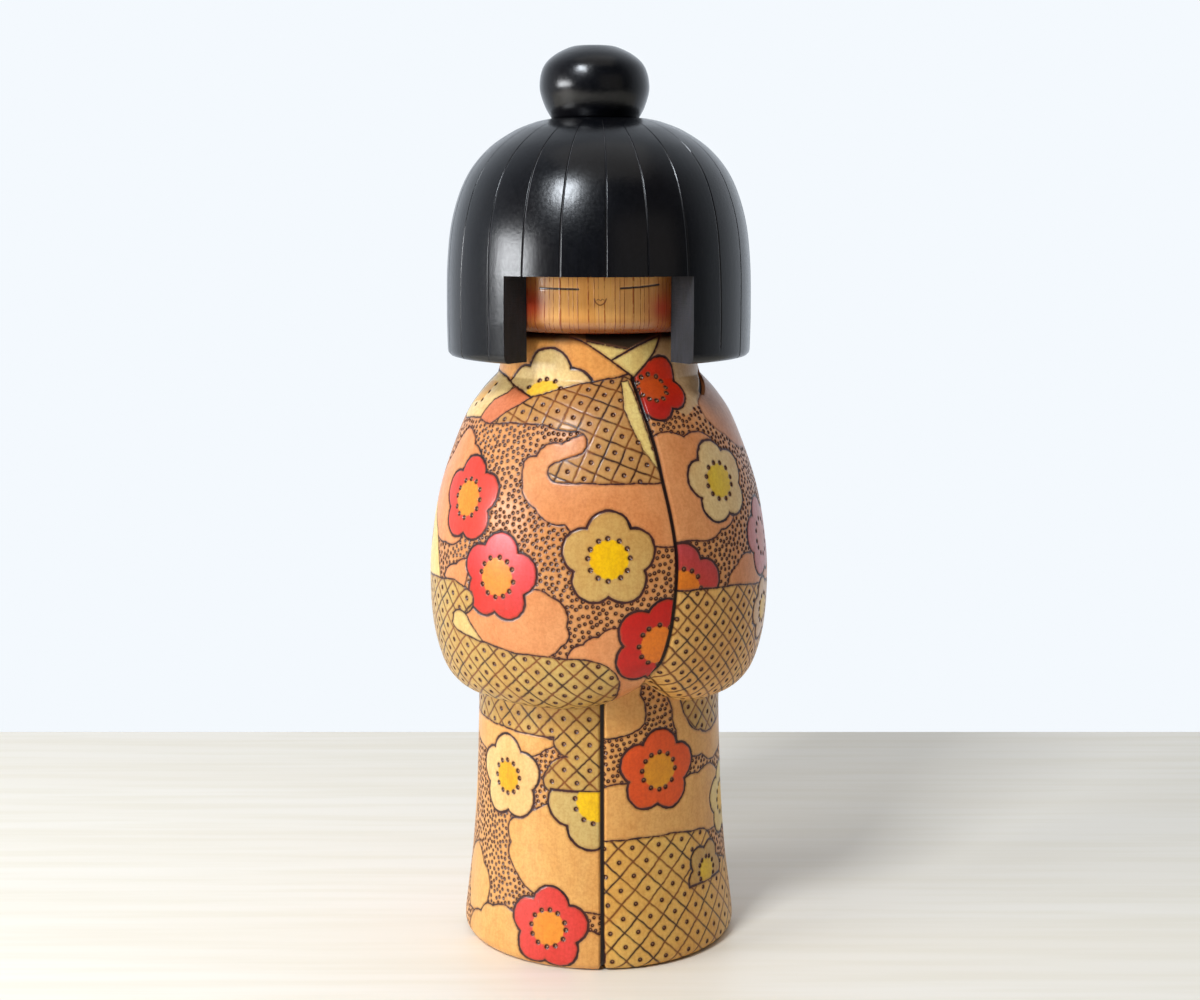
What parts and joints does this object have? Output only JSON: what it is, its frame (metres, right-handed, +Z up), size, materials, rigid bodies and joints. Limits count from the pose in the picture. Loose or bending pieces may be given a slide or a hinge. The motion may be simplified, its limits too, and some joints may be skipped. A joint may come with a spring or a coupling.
{
  "type": "kokeshi doll",
  "caption": "Large turned wooden doll in a carved kimono with a rounded sleeve block, a flared skirt, a black bob of hair with a face window, and a topknot; the head turns.",
  "frame": {"origin": "centre of the flat base, on the surface that the doll stands on", "axes": "+Z up along the turning axis, -Y towards the front, where the face window opens, +X to the viewer's right"},
  "size_m": [0.1158, 0.1158, 0.303],
  "materials": {
    "kimono_wood": "waxed, scorched lines and dots, stained red, yellow, cream and peach",
    "face_wood": "clear satin lacquer over straight grain",
    "dyed_wood": "black dye, satin",
    "dowel_wood": "bare"
  },
  "bodies": {
    "body": {"skirt_block": "kimono_wood", "jacket_block": "kimono_wood", "waist_dowel": "dowel_wood", "neck_peg": "dowel_wood"},
    "head": {"head_block": "face_wood", "hair_cap": "dyed_wood", "topknot": "dyed_wood", "topknot_dowel": "dowel_wood"}
  },
  "joints": [
    {"name": "head_turn", "type": "hinge", "parent": "body", "child": "head", "pos_m": [0, 0, 0.21035], "axis": [0, 0, 1], "continuous": true}
  ]
}
